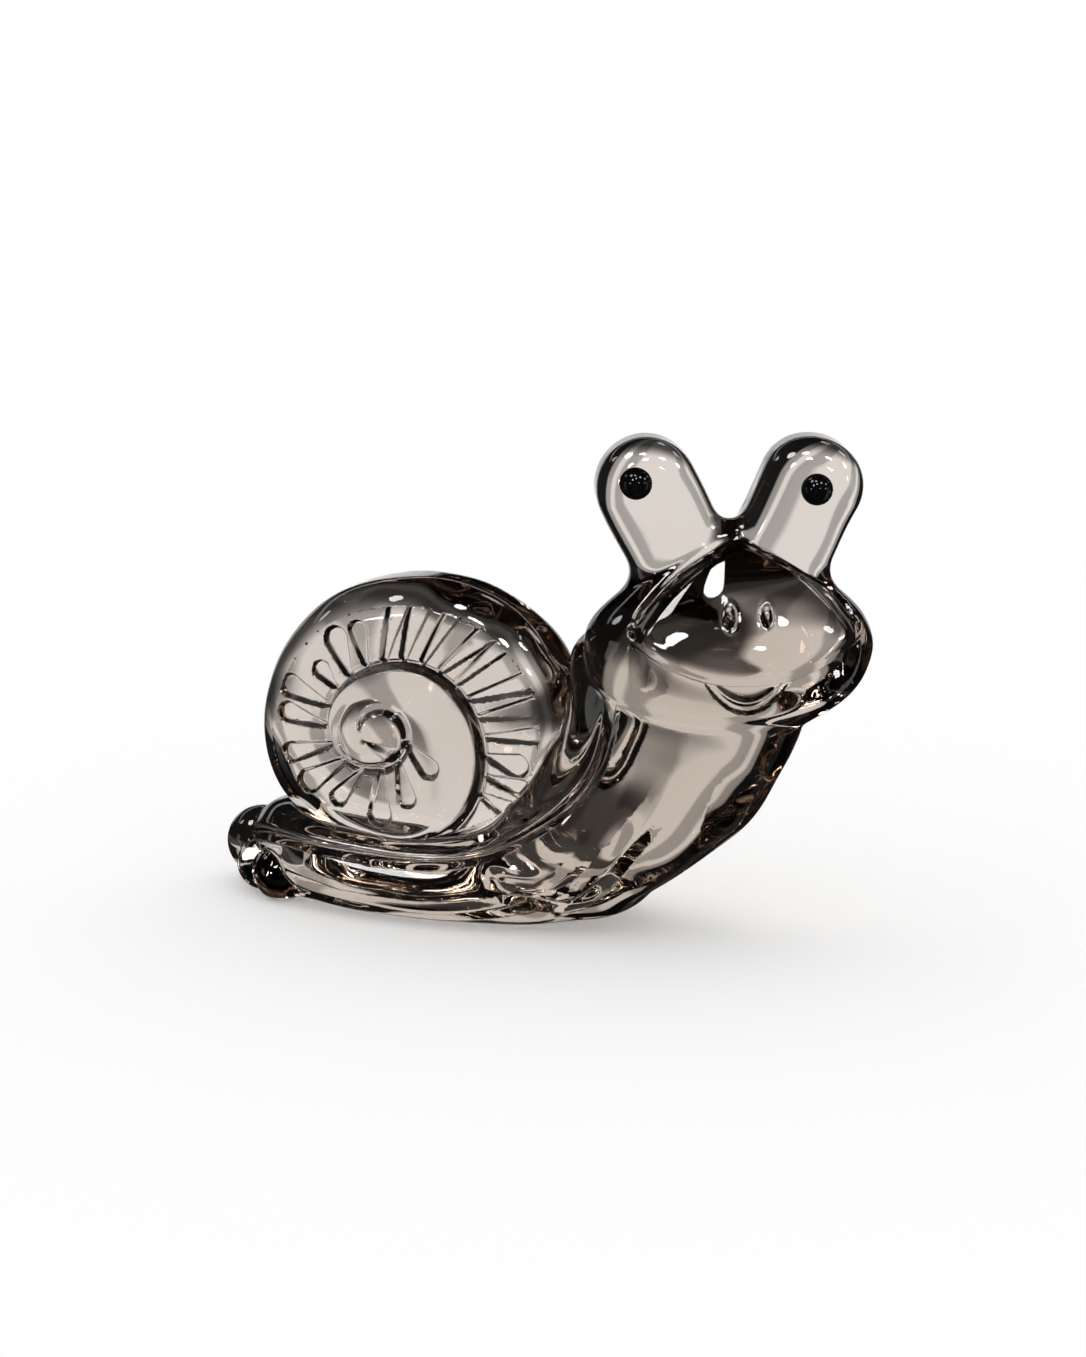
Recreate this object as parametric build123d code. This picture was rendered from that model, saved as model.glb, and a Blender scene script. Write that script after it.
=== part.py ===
from build123d import *
from math import cos, pi, sin
import os

# Driving sizes in millimetres
body_reach = 160.0
body_rise = 80.0
body_width = 50.0
shell_reach = 50.5
shell_thickness = 30.0
shell_rim_radius = 9.0
shell_seat_depth = 5.2
whorl_rise = 2.6
whorl_swell = 5.0
apex_radius = 9.0
apex_rise = 4.6
flute_spacing = 4.8
flute_width = 4.2
flute_depth = 1.7
flute_length = 17.0
flute_gap = 1.4
head_width = 69.0
head_depth = 47.0
head_rise = 30.0
head_drop = 22.4
mouth_groove_depth = 1.3
nostril_radius = 2.1
stalk_radius = 12.2
stalk_thickness = 21.0
stalk_round_radius = 5.0
stalk_length = 30.0
bead_diameter = 7.6
bead_seat_depth = 4.8

# Driving angles in degrees
head_turn = 22.0
stalk_lean = 26.0

# Stations of the foot and neck, from the tail to the inside of the head. Each has the
# lowest and the highest point of its outline, as shares of the reach along the foot and
# of the rise, then its full width, as a share of the body width and one of the head's
# depth, and its shift sideways as a share of the body width.
body_station_shares = [
    (-0.519, 0.045, -0.519, 0.220, 0.28, 0.00, 0.08),
    (-0.475, 0.004, -0.487, 0.280, 0.54, 0.00, 0.06),
    (-0.413, -0.020, -0.425, 0.288, 0.74, 0.00, 0.03),
    (-0.313, -0.030, -0.313, 0.250, 0.90, 0.00, 0.00),
    (-0.175, -0.036, -0.175, 0.238, 1.00, 0.00, 0.00),
    (-0.038, -0.024, -0.088, 0.300, 0.98, 0.00, 0.00),
    (0.075, 0.012, -0.050, 0.412, 0.94, 0.00, 0.00),
    (0.188, 0.138, 0.003, 0.556, 0.90, 0.00, 0.00),
    (0.300, 0.350, 0.025, 0.720, 0.60, 0.30, 0.00),
    (0.381, 0.625, 0.035, 0.880, 0.00, 0.89, -0.02),
    (0.406, 0.875, 0.113, 0.975, 0.00, 0.76, -0.06),
]
foot_station = 4
section_squareness = 2.3
section_points = 16

# Round lobes of the tail's tip: place along the foot, sideways and up, then radius, as
# shares of the reach, the width, the rise and the width
tail_lobe_shares = [
    (-0.519, 0.080, 0.1325, 0.180),
    (-0.490, -0.100, 0.0900, 0.140),
    (-0.444, -0.200, 0.0800, 0.150),
]

# Outer edge of the shell, sixteen radii as shares of its reach, clockwise from the head
# side. The suture is the line where one whorl laps the next: its radii are given at every
# eighth of a turn, from the apex to the edge.
edge_radius_shares = [
    0.965, 0.891, 0.752, 0.663, 0.614, 0.614, 0.653, 0.673,
    0.673, 0.667, 0.681, 0.719, 0.756, 0.828, 0.910, 0.970,
]
suture_radius_shares = [
    0.158, 0.158, 0.162, 0.190, 0.242, 0.289, 0.352, 0.479, 0.570, 0.604, 0.586,
]
suture_step = 1 / 8
lowest_edge = 4
whorl_first_turn = 0.42
whorl_last_turn = 1.30
whorl_spans = 3
apex_tuck_share = 0.8
stations_in_span = 4
whorl_fade_turns = 0.30
shell_place_share = -0.273

# Lengths of the pressed flutes, from the apex outwards, as shares of the longest
flute_length_shares = [
    0.46, 0.51, 0.61, 0.52, 0.60, 0.59, 0.55, 0.58, 0.30, 0.52, 0.50,
    0.76, 0.61, 0.79, 1.00, 0.73, 0.86, 0.52, 0.91, 0.40, 0.50, 0.70,
]
flute_first_turn = 0.02
flute_back_lean = 38.0

# Half outline of the head seen from its front: across as shares of half the width, and
# up or down as shares of the rise above the corners of the mouth or the drop below them.
brow_shares = [
    (0.280, 0.900), (0.560, 0.660), (0.715, 0.510), (0.827, 0.387), (0.930, 0.255), (0.989, 0.120),
]
jaw_shares = [
    (0.985, 0.130), (0.950, 0.300), (0.880, 0.478), (0.700, 0.700), (0.475, 0.870), (0.220, 0.975),
]
crown_flat_share = 0.04
head_place_shares = (0.279, -0.100, 0.900)
face_shift_share = 0.085
mouth_half_width_share = 0.78
mouth_end_share = 0.165
mouth_sag_share = 0.25
lip_line_share = 0.08
smile_half_width_share = 0.29
smile_sag_share = 0.58
nostril_across_share = 0.127
nostril_up_share = 0.365
stalk_across_share = 0.57
stalk_up_share = 1.29
stalk_back_share = 0.08
bead_shift_shares = {"left": (0.25, 0.15), "right": (0.04, 0.02)}


def polar_radius(shares, turns, step):
    """Radius share at any number of turns, eased smoothly from one listed share to the next."""
    last = len(shares) - 1
    place = min(turns / step, last)
    index = int(place)
    blend = place - index
    before, here, after, beyond = (
        shares[min(max(index + shift, 0), last)] for shift in (-1, 0, 1, 2)
    )
    slope_here = (after - before) / 2
    slope_after = (beyond - here) / 2
    return (
        here
        + slope_here * blend
        + (3 * (after - here) - 2 * slope_here - slope_after) * blend**2
        + (2 * (here - after) + slope_here + slope_after) * blend**3
    )


def suture_radius(turns):
    return shell_reach * polar_radius(suture_radius_shares, turns, suture_step)


def whorl_half_width(turns):
    """Half the width of the inner whorl, whose inner side tucks in under the apex."""
    return (suture_radius(turns) - apex_radius * apex_tuck_share) / 2


def whorl_rise_at(turns):
    """Height of the inner whorl over the face, which runs out at both of its ends."""
    fade = max(0, min(1, (whorl_last_turn - turns) / whorl_fade_turns))
    return whorl_rise * fade * min(1, whorl_half_width(turns) / whorl_swell)


def around_shell(radius, turns, sideways):
    """Point of the shell at a radius and a number of turns clockwise from the head side."""
    angle = -2 * pi * turns
    return Vector(
        shell_centre.X + radius * cos(angle),
        sideways,
        shell_centre.Z + radius * sin(angle),
    )


# Where the parts of the body meet
foot_top = body_rise * body_station_shares[foot_station][3]
shell_centre = Vector(
    body_reach * shell_place_share,
    0,
    foot_top - shell_seat_depth + shell_reach * edge_radius_shares[lowest_edge],
)
head_centre = Vector(
    body_reach * head_place_shares[0],
    body_width * head_place_shares[1],
    body_rise * head_place_shares[2],
)
head_place = Location(head_centre, (0, 0, head_turn))


def body_section(shares):
    """Rounded slice across the foot or the neck, set square to the way the body runs."""
    low_x, low_z, high_x, high_z, width_share, head_share, side_share = shares
    low = Vector(body_reach * low_x, 0, body_rise * low_z)
    high = Vector(body_reach * high_x, 0, body_rise * high_z)
    middle = (low + high) / 2 + Vector(0, body_width * side_share, 0)
    upward = (high - low).normalized()
    plane = Plane(middle, x_dir=upward, z_dir=Vector(upward.Z, 0, -upward.X))
    half_height = (high - low).length / 2
    half_width = (body_width * width_share + head_depth * head_share) / 2
    power = 2 / section_squareness
    points = []
    for number in range(section_points):
        angle = 2 * pi * number / section_points
        across, up = sin(angle), cos(angle)
        points.append(
            (
                half_height * abs(up) ** power * (1 if up >= 0 else -1),
                half_width * abs(across) ** power * (1 if across >= 0 else -1),
            )
        )
    return plane * make_face(Spline(*points, periodic=True))


def make_body():
    """Foot, tail and neck, drawn out of one gather and cut flat where it stands."""
    body = loft([body_section(shares) for shares in body_station_shares])
    for along, aside, up, radius in tail_lobe_shares:
        place = Pos(body_reach * along, body_width * aside, body_rise * up)
        body += place * Sphere(body_width * radius)
    ground = Box(
        2 * body_reach,
        2 * body_width,
        body_rise,
        align=(Align.CENTER, Align.CENTER, Align.MAX),
    )
    return body - ground


def make_shell_blank():
    """Coil-shaped slab with round rims on both sides."""
    count = len(edge_radius_shares)
    points = [
        around_shell(shell_reach * share, number / count, 0)
        for number, share in enumerate(edge_radius_shares)
    ]
    outline = make_face(Spline(*points, periodic=True))
    slab = extrude(outline, shell_thickness / 2, both=True)
    return fillet(slab.edges(), shell_rim_radius)


def whorl_section(turns):
    """Oval slice across the inner whorl, sunk so that only its rise stands out of the face."""
    half_width = whorl_half_width(turns)
    half_height = half_width * whorl_swell / (half_width + whorl_swell)
    sideways = half_height - whorl_rise_at(turns) - shell_thickness / 2
    middle = around_shell(suture_radius(turns) - half_width, turns, sideways)
    outward = (around_shell(apex_radius, turns, 0) - shell_centre).normalized()
    along = Vector(0, 1, 0).cross(outward)
    return Plane(middle, x_dir=outward, z_dir=along) * Ellipse(half_width, half_height)


def make_whorl():
    """Swelling of the inner whorl on the front face, which grows round the apex."""
    span = (whorl_last_turn - whorl_first_turn) / whorl_spans
    step = span / (stations_in_span - 1)
    whorl = Part()
    for number in range(whorl_spans):
        start = whorl_first_turn + number * span
        whorl += loft([whorl_section(start + step * station) for station in range(stations_in_span)])
    return whorl


def make_apex():
    """Low dome at the middle of the coil."""
    radius = (apex_radius**2 + apex_rise**2) / (2 * apex_rise)
    depth = radius - apex_rise
    return Pos(shell_centre.X, depth - shell_thickness / 2, shell_centre.Z) * Sphere(radius)


def make_flutes():
    """Cutters of the front flutes, at even steps along the suture.

    Each is a rod that leans out of the face, so the flute is deepest at the suture and runs
    out to a rounded tip.
    """
    radius = flute_width / 2
    cutters = []
    turns = flute_first_turn
    for share in flute_length_shares:
        length = flute_length * share
        place = suture_radius(turns)
        sideways = -shell_thickness / 2 - whorl_rise_at(1 + turns) - radius + flute_depth
        start = around_shell(place + flute_gap, turns, sideways)
        outward = (around_shell(place, turns, 0) - shell_centre).normalized()
        outward = outward.rotate(Axis.Y, -flute_back_lean * max(0, 1 - 2 * turns))
        along = outward * length - Vector(0, flute_depth, 0)
        rod = Cylinder(radius, along.length, align=(Align.CENTER, Align.CENTER, Align.MIN))
        cutters.append(Plane(start, z_dir=along).location * rod)
        turns += flute_spacing / (2 * pi * place)
    return cutters


def make_shell():
    """Shell with the whorls and flutes pressed into its front face, and its far face plain."""
    shell = make_shell_blank() + make_whorl() + make_apex()
    for flute in make_flutes():
        shell -= flute
    return shell


def make_head_blank():
    """Wide head, turned as one outline and pressed thinner from front to back."""
    half_width = head_width / 2
    flat = half_width * crown_flat_share
    points = [(flat, head_rise)]
    points += [(half_width * across, head_rise * up) for across, up in brow_shares]
    points += [(half_width, 0)]
    points += [(half_width * across, -head_drop * down) for across, down in jaw_shares]
    points += [(flat, -head_drop)]
    axis_ends = [(0, -head_drop), (0, head_rise)]
    outline = Plane.XZ * make_face(
        Spline(*points, tangents=[(1, 0), (-1, 0)]) + Polyline(points[-1], *axis_ends, points[0])
    )
    return scale(revolve(outline, Axis.Z), by=(1, head_depth / head_width, 1))


def crescent(half_width, ends, upper_sag, lower_sag):
    """Sickle shape between two arcs that share their raised ends, on the front of the head."""
    left, right = (-half_width, ends), (half_width, ends)
    return make_face(
        ThreePointArc(left, (0, -upper_sag), right) + ThreePointArc(left, (0, -lower_sag), right)
    )


def make_head():
    """Head with the line of the mouth, the smile under it and two nostrils."""
    head = make_head_blank()
    core = scale(head, by=1 - 2 * mouth_groove_depth / head_depth)
    half_width = head_width / 2
    shift = Pos(half_width * face_shift_share, 0, 0)
    mouth = crescent(
        half_width * mouth_half_width_share,
        head_drop * mouth_end_share,
        head_drop * mouth_sag_share,
        head_drop * (mouth_sag_share + lip_line_share),
    )
    smile = crescent(
        half_width * smile_half_width_share,
        -head_drop * mouth_sag_share,
        head_drop * (mouth_sag_share + lip_line_share / 2),
        head_drop * smile_sag_share,
    )
    line = shift * extrude(Plane.XZ * (mouth + smile), head_depth)
    head -= line - core
    for side in (-1, 1):
        across = half_width * (face_shift_share + side * nostril_across_share)
        axis = Axis((across, -head_depth, head_rise * nostril_up_share), (0, 1, 0))
        surface = head.find_intersection_points(axis)[0][0]
        head -= Pos(surface) * Sphere(nostril_radius)
    return head_place * head


def stalk_location(side):
    """Root of a stalk inside the head, with its own axis leaning outwards."""
    lean = stalk_lean * pi / 180
    tip_across = side * head_width / 2 * stalk_across_share
    tip_up = head_rise * stalk_up_share
    root = Location(
        (
            tip_across - side * stalk_length * sin(lean),
            head_depth * stalk_back_share,
            tip_up - stalk_length * cos(lean),
        ),
        (0, side * stalk_lean, 0),
    )
    return head_place * root


def make_stalk(side):
    """Flat-fronted stalk with a round tip and rounded rims, before the head and eye are cut out."""
    left, right = -stalk_radius, stalk_radius
    outline = Polyline((left, stalk_length), (left, 0), (right, 0), (right, stalk_length))
    outline += ThreePointArc((left, stalk_length), (0, stalk_length + stalk_radius), (right, stalk_length))
    slab = extrude(Plane.XZ * make_face(outline), stalk_thickness / 2, both=True)
    rims = slab.edges().filter_by(Axis.Y, reverse=True).sort_by(Axis.Z)[2:]
    own_side = Box(head_width, 2 * head_depth, head_width).translate((side * head_width / 2, 0, head_rise))
    return (stalk_location(side) * fillet(rims, stalk_round_radius)) & (head_place * own_side)


def make_bead(name, side):
    """Bead that sits in a round seat on the front of a stalk's tip, each set by hand."""
    out_share, up_share = bead_shift_shares[name]
    forward = stalk_thickness / 2 + bead_diameter / 2 - bead_seat_depth
    seat = Pos(
        side * (head_width / 2 * stalk_across_share + stalk_radius * out_share),
        head_depth * stalk_back_share - forward,
        head_rise * stalk_up_share + stalk_radius * up_share,
    )
    return head_place * seat * Sphere(bead_diameter / 2)


os.makedirs("parts", exist_ok=True)
head = make_head()
shell = make_shell() - head
body = make_body() - head - shell
pieces = {"foot_and_neck": body, "shell": shell, "head": head}
for name, side in (("left", -1), ("right", 1)):
    bead = make_bead(name, side)
    pieces[name + "_eye"] = bead
    pieces[name + "_eye_stalk"] = make_stalk(side) - head - bead

whole = Compound(list(pieces.values())).bounding_box()
centring = Pos(-whole.center().X, -whole.center().Y, 0)
for name, piece in pieces.items():
    export_step(centring * piece, "parts/" + name + ".step")
    print(name, len(piece.solids()), round(piece.volume))
print("size", whole.size, "centre", whole.center())
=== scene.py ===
import math

import bpy
import numpy as np
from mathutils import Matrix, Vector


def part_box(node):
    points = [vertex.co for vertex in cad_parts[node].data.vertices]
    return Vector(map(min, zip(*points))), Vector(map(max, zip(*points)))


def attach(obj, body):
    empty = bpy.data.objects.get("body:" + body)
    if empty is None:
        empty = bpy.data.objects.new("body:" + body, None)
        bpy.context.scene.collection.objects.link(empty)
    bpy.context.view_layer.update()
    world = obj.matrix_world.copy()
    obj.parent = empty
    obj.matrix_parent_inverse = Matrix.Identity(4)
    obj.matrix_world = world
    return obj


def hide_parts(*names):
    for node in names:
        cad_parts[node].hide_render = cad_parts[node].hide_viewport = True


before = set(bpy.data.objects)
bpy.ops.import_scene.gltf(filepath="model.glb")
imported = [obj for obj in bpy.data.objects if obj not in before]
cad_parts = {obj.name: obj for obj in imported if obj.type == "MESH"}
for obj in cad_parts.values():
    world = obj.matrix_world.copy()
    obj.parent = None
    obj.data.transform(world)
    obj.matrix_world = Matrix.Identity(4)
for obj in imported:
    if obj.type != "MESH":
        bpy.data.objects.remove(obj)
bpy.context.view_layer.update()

import openvdb
from mathutils import Vector

scene = bpy.context.scene
mm = 0.001
tiny = 1e-6  # keeps a sum that is divided by from being nought

# Lengths are in millimetres where no note says metres, in a working frame of the script's own
# with the table at z = 0. The glass is moved onto the CAD frame when its mesh is made.


def smoothStep(low, high, value):
    part = np.clip((value - low) / (high - low), 0, 1)
    return part * part * (3 - 2 * part)


def softMin(first, second, blend):
    part = np.clip(0.5 + 0.5 * (second - first) / blend, 0, 1)
    return second + (first - second) * part - blend * part * (1 - part)


def softMax(first, second, blend):
    return -softMin(-first, -second, blend)


def bump(value, width):
    return np.exp(-((value / width) ** 2))


# a slab with rounded rims, from how far a point is past its flat edge and its flat face
def roundedSlab(outward, sideways, rim):
    corner = np.hypot(np.maximum(outward, 0), np.maximum(sideways, 0))
    return np.minimum(np.maximum(outward, sideways), 0) + corner - rim


# a smooth curve through given values, which also gives its slope
def curveThrough(places, values, flatEnds=False):
    places, values = np.asarray(places, float), np.asarray(values, float)
    count, gaps = len(places), np.diff(places)
    rises = np.diff(values) / gaps
    system, wanted = np.zeros((count, count)), np.zeros(count)
    for i in range(1, count - 1):
        system[i, i - 1:i + 2] = gaps[i - 1], 2 * (gaps[i - 1] + gaps[i]), gaps[i]
        wanted[i] = 6 * (rises[i] - rises[i - 1])
    system[0, 0] = system[-1, -1] = 1
    if flatEnds:
        system[0, :2], wanted[0] = (2 * gaps[0], gaps[0]), 6 * rises[0]
        system[-1, -2:], wanted[-1] = (gaps[-1], 2 * gaps[-1]), -6 * rises[-1]
    bends = np.linalg.solve(system, wanted)

    def at(place):
        place = np.clip(place, places[0], places[-1])
        i = np.clip(np.searchsorted(places, place) - 1, 0, count - 2)
        gap, left, right = gaps[i], place - places[i], places[i + 1] - place
        value = (bends[i] * right ** 3 + bends[i + 1] * left ** 3) / (6 * gap)
        value += (values[i] / gap - bends[i] * gap / 6) * right
        value += (values[i + 1] / gap - bends[i + 1] * gap / 6) * left
        slope = (bends[i + 1] * left ** 2 - bends[i] * right ** 2) / (2 * gap)
        slope += rises[i] - (bends[i + 1] - bends[i]) * gap / 6
        return value, slope

    return at


# Foot, tail and neck
foot = {
    "reach": 160.0, "rise": 80.0, "width": 50.0,
    # lowest and highest point of each slice (x, z, x, z), its width and its shift sideways,
    # as shares of the reach, the rise and the width
    "stations": [
        (-0.519, 0.045, -0.519, 0.220, 0.28, 0.08), (-0.475, 0.004, -0.487, 0.280, 0.54, 0.06),
        (-0.413, -0.020, -0.425, 0.288, 0.74, 0.03), (-0.313, -0.030, -0.313, 0.250, 0.90, 0.00),
        (-0.175, -0.036, -0.175, 0.238, 1.00, 0.00), (-0.038, -0.024, -0.088, 0.300, 0.98, 0.00),
        (0.075, 0.012, -0.050, 0.412, 0.94, 0.00), (0.188, 0.138, 0.003, 0.556, 0.90, 0.00),
        (0.300, 0.350, 0.025, 0.720, 0.882, 0.00), (0.381, 0.625, 0.035, 0.880, 0.837, -0.02),
        (0.406, 0.875, 0.113, 0.975, 0.714, -0.06),
    ],
    "squareness": 2.3, "soleRound": 1.2, "endBlend": 2.0, "farOff": 1000.0,
    # finding a point's slice: slices looked at, rounds of refining and the least turn taken
    "slices": 60, "refineRounds": 2, "leastTurn": 1.0,
    # least size and slope, which keep the field steady in the middle of a slice
    "core": 0.2, "leastSlope": 0.3,
    # what shows of the waves, and the slices where the chest shows more and where they fade
    "waveShare": 0.25, "chestShare": 1.1, "chestIn": (5.0, 6.5), "chestOut": (7.6, 8.8),
    "wavesOut": (8.2, 9.0),
    # lobes of the tail's tip: x, y, z and radius
    "tailLobes": [(-83.0, 4.0, 10.6, 9.0), (-78.4, -5.0, 7.2, 7.0), (-71.0, -10.0, 6.4, 7.5)],
    "lobeBlend": 0.9,
}

# Folds drawn along the foot and up the neck. Each has its height on every slice, from -1 at
# the sole to 1 at the top, how deep and wide it is, how high the roll above it swells, and
# the slices where it comes and goes.
folds = [
    {"heights": [0.35, 0.42, 0.48, 0.60, 0.66, 0.58, 0.43, 0.33, 0.30, 0.38, 0.45],
     "depth": 1.3, "width": 1.5, "roll": 1.0, "first": 0.3, "last": 8.8},
    {"heights": [-0.60, -0.55, -0.48, -0.42, -0.40, -0.36, -0.30, -0.20, -0.10, 0.05, 0.10],
     "depth": 0.9, "width": 3.0, "roll": 0.4, "first": 1.5, "last": 6.8},
    {"heights": [0.00, 0.00, 0.00, 0.02, 0.10, 0.02, -0.50, -0.42, -0.36, -0.30, -0.30],
     "depth": 1.5, "width": 3.8, "roll": 1.0, "first": 5.4, "last": 8.0},
]
# every fold: where it begins across the half width, the slices that it takes to come and go, how
# round its crease is and how many widths off its roll lies
foldForm = {
    "side": (0.22, 0.6), "comes": (0.8, 0.5), "goes": (1.2, 0.3), "round": 0.02, "rollAway": 1.7,
}

# low waves of the hand-worked glass: how far apart the crests are, how high, which way they run
waves = [
    (30.0, 0.50, (0.8, 0.1, 0.6)), (24.0, 0.40, (0.35, 0.5, -0.8)), (18.0, 0.20, (-0.7, 0.3, 0.65)),
]
# bends of the crests along x and up z, in radians: size, turn for a millimetre and for a wave
crestBends = {"x": (1.1, 0.11, 0.7), "z": (0.9, 0.13, 1.9)}


def crestBend(way, place, number):
    size, pace, shift = crestBends[way]
    return size * np.sin(pace * place + shift * number)


def handWaves(x, y, z):
    total = 0
    for number, (crests, height, way) in enumerate(waves):
        turn = 2 * math.pi / crests
        bend = crestBend("x", x, number) + crestBend("z", z, number)
        total = total + height * np.sin(turn * (way[0] * x + way[1] * y + way[2] * z) + bend + number)
    return total


def footSlices():
    columns = list(zip(*foot["stations"]))
    scales = (foot["reach"], foot["rise"], foot["reach"], foot["rise"], foot["width"] / 2, foot["width"])
    numbers = range(len(foot["stations"]))
    return [curveThrough(numbers, [scale * v for v in c]) for c, scale in zip(columns, scales)]


sliceCurves = footSlices()
foldCurves = [curveThrough(range(len(fold["heights"])), fold["heights"]) for fold in folds]
sliceNumbers = np.linspace(0, len(foot["stations"]) - 1, foot["slices"] + 1)
lowXs, lowZs, highXs, highZs = (curve(sliceNumbers)[0] for curve in sliceCurves[:4])


# which slice of the foot a point of the side view lies on
def slicePlace(x, z):
    def ahead(i):
        return (highZs[i] - lowZs[i]) * (x - lowXs[i]) - (highXs[i] - lowXs[i]) * (z - lowZs[i])

    def height(i):
        spanX, spanZ = highXs[i] - lowXs[i], highZs[i] - lowZs[i]
        along = (x - lowXs[i]) * spanX + (z - lowZs[i]) * spanZ
        return np.abs(2 * along / (spanX ** 2 + spanZ ** 2) - 1)

    before, last = ahead(0), len(sliceNumbers) - 1
    place = np.where(before < 0, 0.0, sliceNumbers[last])
    nearest = np.full(np.shape(before), np.inf)
    step = sliceNumbers[1]
    for i in range(last):
        after = ahead(i + 1)
        spots = np.nonzero((before >= 0) & (after < 0))[0]
        if len(spots):
            away = height(i)[spots]
            spots, away = spots[away < nearest[spots]], away[away < nearest[spots]]
            share = before[spots] / (before[spots] - after[spots])
            place[spots] = sliceNumbers[i] + share * step
            nearest[spots] = away
        before = after
    inside = np.isfinite(nearest)
    x, z, spot = x[inside], z[inside], place[inside]
    for _ in range(foot["refineRounds"]):
        (lowX, lowXStep), (lowZ, lowZStep), (highX, highXStep), (highZ, highZStep) = (
            curve(spot) for curve in sliceCurves[:4]
        )
        off = (highZ - lowZ) * (x - lowX) - (highX - lowX) * (z - lowZ)
        turn = (highZStep - lowZStep) * (x - lowX) - (highZ - lowZ) * lowXStep
        turn = turn - (highXStep - lowXStep) * (z - lowZ) + (highX - lowX) * lowZStep
        move = np.clip(off / np.minimum(turn, -foot["leastTurn"]), -step, step)
        spot = np.clip(spot - move, 0, sliceNumbers[last])
    place[inside] = spot
    return place


# creases with a roll above them, as far as each fold shows on a slice
def foldRelief(fold, place, away):
    (before, after), (early, late) = foldForm["comes"], foldForm["goes"]
    comes = smoothStep(fold["first"] - before, fold["first"] + after, place)
    goes = 1 - smoothStep(fold["last"] - early, fold["last"] + late, place)
    crease = np.maximum(0, 1 - np.sqrt((away / fold["width"]) ** 2 + foldForm["round"]))
    roll = bump(away - foldForm["rollAway"] * fold["width"], fold["width"])
    return comes, goes, fold["depth"] * crease - fold["roll"] * roll


def footField(x, y, z):
    place = slicePlace(x, z)
    lowX, lowZ, highX, highZ, halfWidth, side = (curve(place)[0] for curve in sliceCurves)
    spanX, spanZ = highX - lowX, highZ - lowZ
    span = np.hypot(spanX, spanZ)
    up = 2 * ((x - lowX) * spanX + (z - lowZ) * spanZ) / span ** 2 - 1
    beyond = ((x - lowX) * spanZ - (z - lowZ) * spanX) / span
    beyond = np.where(place <= 0, -beyond, np.where(place >= sliceNumbers[-1], beyond, -foot["farOff"]))
    across = (y - side) / halfWidth
    power = foot["squareness"]
    size = (np.abs(up) ** power + np.abs(across) ** power) ** (1 / power)
    size = np.maximum(size, foot["core"])
    steepUp = np.abs(up) ** (power - 1) * 2 / span
    steepAcross = np.abs(across) ** (power - 1) / halfWidth
    steep = size ** (1 - power) * np.hypot(steepUp, steepAcross)
    field = (size - 1) / np.maximum(steep, foot["leastSlope"] / np.maximum(span / 2, halfWidth))
    chest = smoothStep(*foot["chestIn"], place) * (1 - smoothStep(*foot["chestOut"], place))
    shown = foot["waveShare"] + foot["chestShare"] * chest
    field = field + handWaves(x, y, z) * shown * (1 - smoothStep(*foot["wavesOut"], place))
    flank = smoothStep(*foldForm["side"], np.abs(across))
    for fold, curve in zip(folds, foldCurves):
        away = (up - curve(place)[0]) * span / 2
        comes, goes, relief = foldRelief(fold, place, away)
        field = field + flank * comes * goes * relief
    field = softMax(field, beyond, foot["endBlend"])
    for lobeX, lobeY, lobeZ, radius in foot["tailLobes"]:
        lobe = np.sqrt((x - lobeX) ** 2 + (y - lobeY) ** 2 + (z - lobeZ) ** 2) - radius
        field = softMin(field, lobe, foot["lobeBlend"])
    return field


# Shell
coil = {
    "reach": 50.5, "thickness": 30.0, "rimRadius": 9.0, "seatDepth": 5.2, "place": -0.273,
    # outer edge and suture: radii as shares of the reach, clockwise from the head's side
    "edgeShares": [
        0.965, 0.891, 0.752, 0.663, 0.614, 0.614, 0.653, 0.673,
        0.673, 0.667, 0.681, 0.719, 0.756, 0.828, 0.910, 0.970,
    ],
    "lowestEdge": 4, "seatRise": 0.238, "edgeOverlap": 4,
    "sutureShares": [0.158, 0.158, 0.162, 0.190, 0.242, 0.289, 0.352, 0.479, 0.570, 0.604, 0.586],
    "sutureStep": 0.125,
    # the whorl: turns where it starts and ends, and its step up from the suture and fall inwards
    "whorlFirst": 0.02, "whorlComes": 0.12, "whorlLast": 1.40, "whorlFade": 0.28,
    "whorlStep": 1.4, "stepWidth": 1.8, "whorlFall": 15.0, "fallShare": 0.75,
    "sutureDepth": 1.3, "sutureWidth": 0.9, "sutureDip": 0.7, "sutureRun": 5.0, "sutureEdge": 0.4,
    "apexRadius": 8.8, "apexRise": 3.4, "apexAt": (0.3, 1.2), "apexBlend": 0.4,
    # the curl round the apex: turns clockwise and radius, then its form and the turns it fades over
    "curl": [
        (0.66, 3.6), (0.74, 6.6), (0.84, 8.8), (0.95, 9.5), (1.06, 8.9), (1.18, 7.9), (1.30, 7.6),
        (1.42, 8.1), (1.50, 8.75), (1.60, 9.4), (1.667, 10.0),
    ],
    "curlDepth": 1.1, "curlWidth": 0.85, "curlComes": (-0.03, 0.06), "curlGoes": (0.10, 0.04),
    # both faces: how much they dome, and the share of that which stands proud of the slab
    "faceDome": 2.6, "faceShare": 0.5, "backDome": 4.0, "backShare": 0.4,
    "rimInset": 3.0, "rimLineDepth": 0.5, "rimLineWidth": 0.8,
    # the front relief is worked out only this far to the front and past the rim's round
    "faceFrom": -5.0, "faceOver": 3.0,
}
coilX = foot["reach"] * coil["place"]
coilLow = coil["reach"] * coil["edgeShares"][coil["lowestEdge"]]
coilZ = foot["rise"] * coil["seatRise"] - coil["seatDepth"] + coilLow


# a closed outline, which overlaps itself so that its ends meet smoothly
def closedCurve(shares, scale, overlap):
    count = len(shares)
    numbers = range(-overlap, count + overlap)
    return curveThrough(np.array(numbers) / count, [scale * shares[i % count] for i in numbers])


def clockwiseTurns(x, z):
    return (-np.arctan2(z, x) / (2 * math.pi)) % 1


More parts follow.
